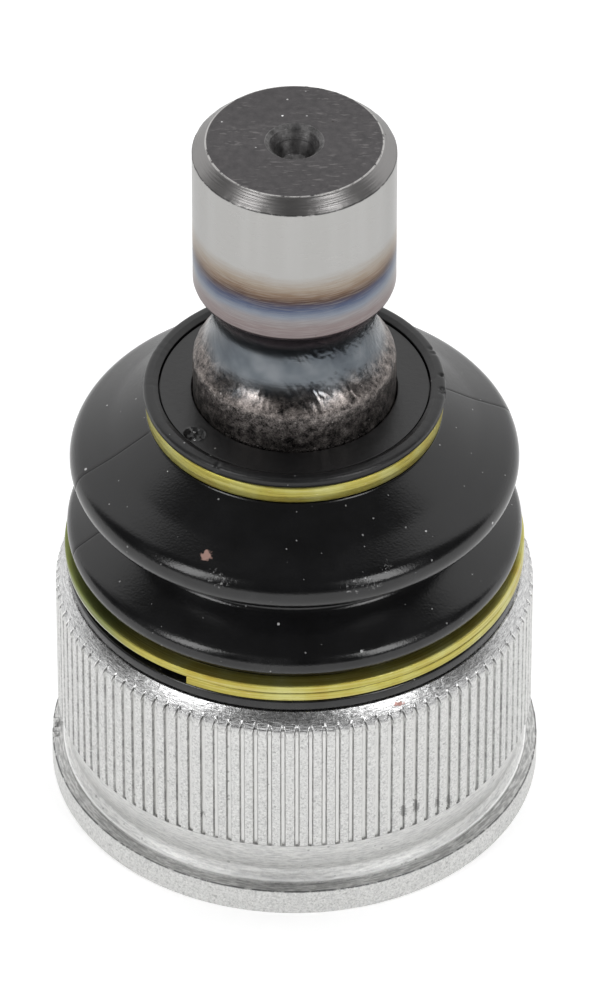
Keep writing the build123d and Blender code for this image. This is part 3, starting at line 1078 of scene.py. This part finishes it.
# %% The stud's steel: noises and places
steel, tree, shader = new_material("stud_steel", 1.0)
radius, height, across, towards = axis_places(tree)
cloud = use(tree, grain, Size_mm=5.0, Detail=3.0)
mottle = use(tree, grain, Size_mm=0.8, Detail=5.0, Roughness=0.7)
fine = use(tree, grain, Size_mm=0.14, Detail=3.0)
grind = use(tree, turned_lines, Lines_per_mm=12.0, Breaks=4.0)
tool_lines = use(tree, turned_lines, Lines_per_mm=5.5, Breaks=2.0, Detail=1.0)
pits = use(tree, specks, Spacing_mm=1.6, Dot_mm=0.13, Share=0.25)
sparkle = use(tree, specks, Spacing_mm=0.9, Dot_mm=0.1, Share=0.12)
chamfer_bottom = stud_top - shank_chamfer
on_top = between(height, stud_top - 0.03, stud_top - 0.01)
above_shank = between(height, chamfer_bottom - 0.05, chamfer_bottom + 0.02)
on_chamfer = between(height, chamfer_bottom - 0.1, chamfer_bottom + 0.02)
on_chamfer = on_chamfer * between(height, stud_top - 0.01, stud_top - 0.05)
in_hole = between(radius, hole_mouth_radius + 0.02, hole_mouth_radius - 0.06)
in_hole = in_hole * between(height, 60.0, 62.0)  # leaves out the ball's foot, which is near the axis too
below = between(height, shank_bottom, shank_bottom - 0.3)
on_shank = between(height, shank_bottom, shank_bottom + 0.1)
on_collar = between(height, collar_top + 1.4, collar_top + 0.1)

# %% The stud's steel: temper colours of the shank
temper_length = 10.0
wander = (cloud - 0.5) * 1.1 + (grind - 0.5) * 0.7
temper_share = (height + wander - shank_bottom) / temper_length
sheen_place = Value(add(tree, "ShaderNodeCombineXYZ", {0: across * 3.2, 1: towards * 3.2}))
sheen = between(noise(tree, sheen_place, Scale=1.0, Detail=2.0), 0.42, 0.68)
temper = coats(
    ramp(
        temper_share,
        (0.0, (0.2, 0.165, 0.165)),
        (0.105, (0.223, 0.183, 0.18)),
        (0.19, (0.25, 0.235, 0.24)),
        (0.25, (0.19, 0.215, 0.26)),
        (0.31, (0.085, 0.105, 0.165)),
        (0.36, (0.065, 0.065, 0.1)),
        (0.41, (0.085, 0.055, 0.045)),
        (0.47, (0.19, 0.13, 0.09)),
        (0.55, (0.3, 0.25, 0.2)),
        (0.7, (0.4, 0.395, 0.385)),
    ),
    (between(grind, 0.45, 0.65) * 0.2, (0.42, 0.42, 0.41)),
    (sheen * between(temper_share, 0.6, 0.85) * 0.2, (0.5, 0.5, 0.495)),
)

# %% The stud's steel: scale on the collar, oxide in the groove
scale_colour = coats(
    ramp(
        mottle * 0.62 + fine * 0.38,
        (0.38, (0.02, 0.019, 0.019)),
        (0.47, (0.1, 0.09, 0.086)),
        (0.57, (0.26, 0.235, 0.222)),
        (0.69, (0.55, 0.51, 0.48)),
    ),
    (use(tree, specks, Spacing_mm=0.42, Dot_mm=0.13, Share=0.4) * 0.75, (0.02, 0.018, 0.018)),
    # The pale flecks on the scale are painted glints.
    (use(tree, specks, Spacing_mm=0.55, Dot_mm=0.1, Share=0.14) * 0.6, (0.7, 0.66, 0.64)),
)
oxide = ramp(cloud, (0.35, (0.085, 0.096, 0.11)), (0.5, (0.11, 0.125, 0.14)), (0.65, (0.14, 0.155, 0.17)))
worn = ramp(cloud, (0.35, (0.14, 0.15, 0.165)), (0.5, (0.2, 0.21, 0.225)), (0.65, (0.28, 0.29, 0.305)))
oxide = mix(between(cloud, 0.4, 0.8) * 0.35, oxide, worn)
ragged_height = height + (cloud - 0.5) * 3.0
warm_top = band(height, collar_top + 0.5, 0.5, 0.7) * between(mottle, 0.3, 0.65)
chipped = band(height, insert_top + 0.12, 0.06, 0.14) * between(fine, 0.54, 0.62)
neck_colour = coats(
    mix(between(height, shank_bottom - 1.0, shank_bottom - 2.6), (0.2, 0.15, 0.165), oxide),
    (between(ragged_height, collar_top + 2.8, collar_top + 0.4), scale_colour),
    (warm_top * 0.3, (0.26, 0.22, 0.2)),
    (chipped * 0.8, (0.6, 0.56, 0.54)),
)

# %% The stud's steel: the saw-cut face and its glints
saw_stretch = {0: millimetres(tree), 1: (1.1, 4.5, 1.0)}
saw_place = Value(add(tree, "ShaderNodeVectorMath", saw_stretch, operation="MULTIPLY"))
saw_marks = between(noise(tree, saw_place, Scale=1.0, Detail=4.0), 0.56, 0.68) * between(cloud, 0.42, 0.58)
top_colour = ramp(mottle, (0.3, (0.078, 0.075, 0.077)), (0.7, (0.115, 0.109, 0.111)))
top_colour = mix(saw_marks * 0.7, top_colour, (0.2, 0.19, 0.19))
glints = any_of(
    sparkle * 0.3,
    mark_at(tree, -174.0, 5.9, stud_top, 0.1, 1.0, 0.2) * 0.5,
    mark_at(tree, -163.5, 3.7, stud_top, 0.11, 1.0, 0.2),
    mark_at(tree, 163.0, 3.7, stud_top, 0.1, 1.0, 0.2) * 0.35,
    mark_at(tree, -113.0, 6.9, stud_top, 0.1, 1.0, 0.3) * 0.5,
    mark_at(tree, -75.0, 3.5, stud_top, 0.09, 1.0, 0.3) * 0.4,
)

# %% The stud's steel: the finish
chamfer_edge = band(height, chamfer_bottom - 0.02, 0.03, 0.07) * between(mottle, 0.36, 0.48)
# Painted highlight: a pale line round the edge of the top face.
top_edge_highlight = band(radius, shank_radius - shank_chamfer, 0.04, 0.07) * between(mottle, 0.36, 0.5)
top_edge_highlight = top_edge_highlight * between(height, stud_top - 0.12, stud_top - 0.06)
base = coats(
    mix(between(height, shank_bottom - 0.05, shank_bottom + 0.05), neck_colour, temper),
    (above_shank, (0.26, 0.253, 0.25)),
    (chamfer_edge * 0.85, 0.06),
    (on_top, top_colour),
    (in_hole, ramp(mottle, (0.35, (0.1, 0.098, 0.098)), (0.65, (0.24, 0.235, 0.235)))),
    (top_edge_highlight, (0.5, 0.49, 0.48)),
    (pits * 0.7, (0.05, 0.045, 0.04)),
    (glints * on_top, 0.95),
)
rough = 0.24 + grind * 0.1 + on_collar * (mottle * 0.35) - below * 0.08 + on_chamfer * 0.07
rough = rough + any_of(on_top, in_hole) * 0.2
right_flank = between(across, 0.2, 0.5) * between(towards, 0.3, -0.1)
scaly = (mottle * 0.8 + fine * 0.2) * (below * any_of(on_collar, right_flank * 0.7, 0.12))
cut = bump(grind * on_shank, 0.004)
cut = bump(tool_lines * on_chamfer, 0.035, under=cut)
cut = bump(mottle * on_top, 0.02, under=cut)
surface(shader, base, rough, bump(scaly, 0.07, under=cut))
shader.inputs["Specular Tint"].default_value = (0.82, 0.82, 0.82, 1.0)
shader.inputs["Anisotropic"].default_value = 0.3
shader.inputs["Anisotropic Rotation"].default_value = 0.25
connect(Value(add(tree, "ShaderNodeTangent", direction_type="RADIAL", axis="Z")), shader.inputs["Tangent"])
wear(stud_forging, steel)

# %% [markdown]
# ## Rubber
# Carbon-black rubber is nearly black. What one sees is the soft sheen of its skin, a little dust, faint
# chalky scuffs on the fold's shoulder, the dark hairline of the mould's seam and one stray fleck.

# %% Boot rubber
rubber, tree, shader = new_material("boot_rubber", 0.0)
radius, height, across, towards = axis_places(tree)
skin = use(tree, grain, Size_mm=0.22, Detail=2.0)
cloud = use(tree, grain, Size_mm=3.0, Detail=5.0, Roughness=0.65)
dust = use(tree, specks, Spacing_mm=1.9, Dot_mm=0.17, Share=0.3)
fine_dust = use(tree, specks, Spacing_mm=0.75, Dot_mm=0.1, Share=0.3)
rubbed = between(radius, 19.9, 20.2) * between(cloud, 0.35, 0.7)
scuff = marks_at(
    tree,
    (-20.0, 19.2, 36.6, 1.5, 0.45),
    (17.0, 19.5, 36.4, 1.9, 0.35),
    (25.0, 18.9, 37.1, 0.8, 0.5),
)
scratch = between(use(tree, grain, Size_mm=0.28, Detail=3.0, Roughness=0.7), 0.55, 0.66)
seam_turn = math.radians(seam_azimuth)
from_seam = abs((across * math.cos(seam_turn) + towards * math.sin(seam_turn)) * radius)
seam_line = between(from_seam, 0.11, 0.06) * between(height, clip_groove_top, clip_groove_top + 0.1)
seam_line = seam_line * between(height, 41.0, folds_top)
fleck = mark_at(tree, -25.3, 18.1, 37.62, 0.6, 1.0, 0.35)
base = coats(
    ramp(cloud, (0.3, (0.003, 0.003, 0.0033)), (0.7, (0.007, 0.007, 0.0078))),
    (rubbed * 0.4, (0.04, 0.04, 0.041)),
    (scuff * scratch * 0.7, 0.45),
    (any_of(dust, fine_dust * 0.5) * 0.9, 0.6),
    (seam_line, 0.001),
    (fleck, (0.4, 0.24, 0.2)),
)
on_rim = between(height, rim_bottom, rim_bottom + 0.4)
rough = 0.12 + cloud * 0.12 + any_of(seam_line, fleck) * 0.4 + on_rim * 0.2
surface(shader, base, rough, bump(skin, 0.012))
wear(bellows, rubber)

# %% Insert plastic
hard_black, tree, shader = new_material("insert_plastic", 0.0)
skin = use(tree, grain, Size_mm=0.5, Detail=4.0)
dust = use(tree, specks, Spacing_mm=1.2, Dot_mm=0.1, Share=0.15)
pits = marks_at(
    tree,
    (gate_azimuth, gate_radius_from_axis, insert_top - 0.1, gate_size * 1.05, 1.0, 0.15),
    (-71.4, 10.78, insert_top, 0.3, 1.0, 0.6),
)
# Two painted glints at the gate mark.
gate_glints = marks_at(
    tree,
    (gate_azimuth + 1.8, gate_radius_from_axis + 0.25, insert_top - 0.15, 0.2, 1.0, 0.5),
    (gate_azimuth - 2.5, gate_radius_from_axis - 0.3, insert_top - 0.15, 0.14, 1.0, 0.5),
)
base = coats(
    ramp(skin, (0.3, (0.006, 0.006, 0.0064)), (0.7, (0.012, 0.012, 0.0125))),
    (dust, (0.35, 0.34, 0.33)),
    (pits, 0.0015),
    (gate_glints, 0.6),
)
surface(shader, base, 0.3 + skin * 0.14, bump(skin, 0.02))
wear(insert_ring, hard_black)

# %% [markdown]
# ## Yellow-passivated wire
# Chromate over zinc gives a thin yellow film whose tint drifts from greenish straw to gold, because its
# thickness drifts. Over that drift lie the lines of the drawn wire, pale and brown, and short nicks. At the
# left the lower wire is coloured a dark green, and a highlight is painted along its outer edge.

# %% Clip wire
chromate, tree, shader = new_material("clip_wire", 0.8)
radius, height, across, _ = axis_places(tree)
drift = use(tree, grain, Size_mm=3.2, Detail=2.0)
fine = use(tree, grain, Size_mm=0.25, Detail=3.0)
drawn = use(tree, turned_lines, Lines_per_mm=9.0, Breaks=2.0)
pits = use(tree, specks, Spacing_mm=0.9, Dot_mm=0.12, Share=0.12)
nicks = use(tree, turned_lines, Lines_per_mm=12.0, Breaks=26.0, Detail=3.0)
on_lower_clip = between(height, 31.0, 30.0)
# At the left the lower wire is coloured dark green.
dark_green_left = between(across, -0.62, -0.86) * on_lower_clip
# Painted highlight along the lower wire's outer edge at the left.
left_edge_highlight = dark_green_left * between(radius, clip_outer - 0.22, clip_outer - 0.12) * between(height, 25.32, 25.2)
base = coats(
    ramp(drift, (0.3, (0.46, 0.36, 0.06)), (0.5, (0.5, 0.45, 0.1)), (0.68, (0.56, 0.54, 0.19))),
    (between(drawn, 0.5, 0.7) * 0.5, (0.68, 0.64, 0.3)),
    (between(drawn, 0.5, 0.32) * 0.45, (0.26, 0.21, 0.05)),
    (pits * 0.6, (0.2, 0.17, 0.08)),
    (between(nicks, 0.36, 0.29) * 0.6, (0.16, 0.13, 0.05)),
    (between(nicks, 0.66, 0.73) * 0.5, (0.86, 0.83, 0.6)),
    (dark_green_left * 0.85, (0.13, 0.17, 0.05)),
    (left_edge_highlight, (0.85, 0.85, 0.78)),
)
surface(shader, base, 0.28 + fine * 0.2, bump(fine + drawn, 0.012))
wear(upper_band, chromate)
wear(lower_wire, chromate)

# %% [markdown]
# ## The pieces inside
# The seat, its spring and the cover plate keep their CAD meshes, which already have the right shape. The
# cover plate shows from below, so it gets turned lines; the seat is pale moulded plastic.

# %% Finishes for the inner pieces
def plain_finish(name, metallic, grain_size, detail, dark, light, rough, depth, turned=False):
    """A colour that drifts with the grain, over a relief of that grain or of turned lines."""
    material, tree, shader = new_material(name, metallic)
    fine = use(tree, grain, Size_mm=grain_size, Detail=detail)
    relief = use(tree, turned_lines, Lines_per_mm=3.0, Breaks=6.0) if turned else fine
    lowest, swing = rough
    surface(shader, ramp(fine, (0.3, dark), (0.7, light)), lowest + relief * swing, bump(relief, depth))
    return material


plate_grey = ((0.5, 0.5, 0.49), (0.66, 0.66, 0.64))
spring_blue = ((0.12, 0.13, 0.17), (0.2, 0.21, 0.26))
seat_ivory = ((0.66, 0.65, 0.6), (0.74, 0.73, 0.68))
cover_steel = plain_finish("cover_steel", 1.0, 0.25, 3.0, *plate_grey, (0.3, 0.2), 0.03, turned=True)
spring_steel = plain_finish("spring_steel", 1.0, 0.4, 3.0, *spring_blue, (0.3, 0.2), 0.01)
seat_plastic = plain_finish("seat_plastic", 0.0, 0.6, 2.0, *seat_ivory, (0.35, 0.15), 0.01)
for node, material in (
    ("cover_plate", cover_steel),
    ("seat_spring", spring_steel),
    ("lower_bearing", seat_plastic),
    ("upper_bearing", seat_plastic),
):
    wear(frame["nodes"][node], material)

# %% [markdown]
# ## The studio
# Catalogue pictures of small metal parts are taken on a white table. The table is what the upright metal
# mirrors, so it has to be there and be white. Behind the part stands a lit backdrop, which gives black rubber
# its grey sheen; the room in front is dark, apart from two soft boxes left and right of the camera.
# The floor shows white to the camera and to mirrors, and is plain otherwise. From below it is clear, so that
# the underside of the part can be looked at as well.

# %% Floor
floor_size = 3.0
floor_white = 0.8
floor_lift = 0.5
floor_height = -0.05 * mm
half = floor_size / 2
floor_square = ((-half, -half), (half, -half), (half, half), (-half, half))
floor_corners = [(x, y, floor_height) for x, y in floor_square]
floor_mesh = bpy.data.meshes.new("studio_floor")
floor_mesh.from_pydata(floor_corners, [], [(0, 1, 2, 3)])
studio_floor = bpy.data.objects.new("studio_floor", floor_mesh)
bpy.context.scene.collection.objects.link(studio_floor)
floor_material, tree, shader = new_material("studio_floor", 0.0, 0.0)
shader.inputs["Base Color"].default_value = rgba(floor_white)
shader.inputs["Roughness"].default_value = 1.0
shader.inputs["Emission Color"].default_value = rgba(1.0)
rays = add(tree, "ShaderNodeLightPath")
seen = any_of(*(Value(rays, kind) for kind in ("Is Camera Ray", "Is Glossy Ray", "Is Transmission Ray")))
connect(seen * floor_lift, shader.inputs["Emission Strength"])
from_below = Value(add(tree, "ShaderNodeNewGeometry"), "Backfacing")
clear = Value(add(tree, "ShaderNodeBsdfTransparent"))
one_sided = Value(add(tree, "ShaderNodeMixShader", {0: from_below, 1: Value(shader), 2: clear}))
connect(one_sided, tree.nodes["Material Output"].inputs["Surface"])
wear(studio_floor, floor_material)

# %% World: a lit backdrop behind, dark in front and overhead
backdrop_light = 1.15
world = bpy.data.worlds.new("studio")
bpy.context.scene.world = world
world.use_nodes = True
tree = world.node_tree
sky = tree.nodes["Background"]
parts = add(tree, "ShaderNodeSeparateXYZ", {0: Value(add(tree, "ShaderNodeTexCoord"), "Generated")})
to_right, to_back, upward = (Value(parts, index) for index in range(3))
backdrop = between(to_back + upward * 0.25 + to_right * 0.08, 0.2, 0.4) * backdrop_light
front = ramp(upward, (0.0, 0.5), (0.09, 0.22), (0.22, 0.08), (0.9, 0.12))
level = any_of(Value(add(tree, "ShaderNodeRGBToBW", {0: front})), backdrop)
connect(Value(add(tree, "ShaderNodeCombineColor", {0: level, 1: level, 2: level})), sky.inputs[0])
sky.inputs[1].default_value = 1.0

# %% Two soft boxes beside the camera
box_elevation = 31
box_distance = 0.7
box_width = 0.22
box_tall = 0.42
box_power = 1.5
box_aim = 0.04
for name, azimuth in (("left_box", -52), ("right_box", 44)):
    light = bpy.data.lights.new(name, "AREA")
    light.shape = "RECTANGLE"
    light.size = box_width
    light.size_y = box_tall
    light.energy = box_power
    lamp = bpy.data.objects.new(name, light)
    turn = math.radians(azimuth)
    rise = math.radians(box_elevation)
    lamp.location = (
        box_distance * math.cos(rise) * math.sin(turn),
        -box_distance * math.cos(rise) * math.cos(turn),
        box_distance * math.sin(rise) + box_aim,
    )
    lamp.rotation_euler = (math.pi / 2 - rise, 0, turn)
    bpy.context.scene.collection.objects.link(lamp)

# %% [markdown]
# ## The camera
# The camera was solved from the ellipses of the rings in the photograph: it stands nearly a metre away with a
# long lens and looks down at forty degrees, straight at the axis.

# %% Camera
camera_distance = 0.92
camera_elevation = math.radians(40.4)
aim_height = 0.03019
sensor = 36.0
focal_pixels = 10232.0
image_height = 1000.0
camera_data = bpy.data.cameras.new("camera")
camera = bpy.data.objects.new("camera", camera_data)
bpy.context.scene.collection.objects.link(camera)
camera_data.sensor_width = sensor
camera_data.lens = focal_pixels * sensor / image_height
camera_data.clip_start = 0.01
camera_back = camera_distance * math.cos(camera_elevation)
camera_rise = camera_distance * math.sin(camera_elevation)
camera.location = (0, -camera_back, aim_height + camera_rise)
camera.rotation_euler = (math.pi / 2 - camera_elevation, 0, 0)
bpy.context.scene.camera = camera
bpy.context.scene.view_settings.view_transform = "Standard"
print(f"lens {camera_data.lens:.1f} mm at {camera_distance} m")
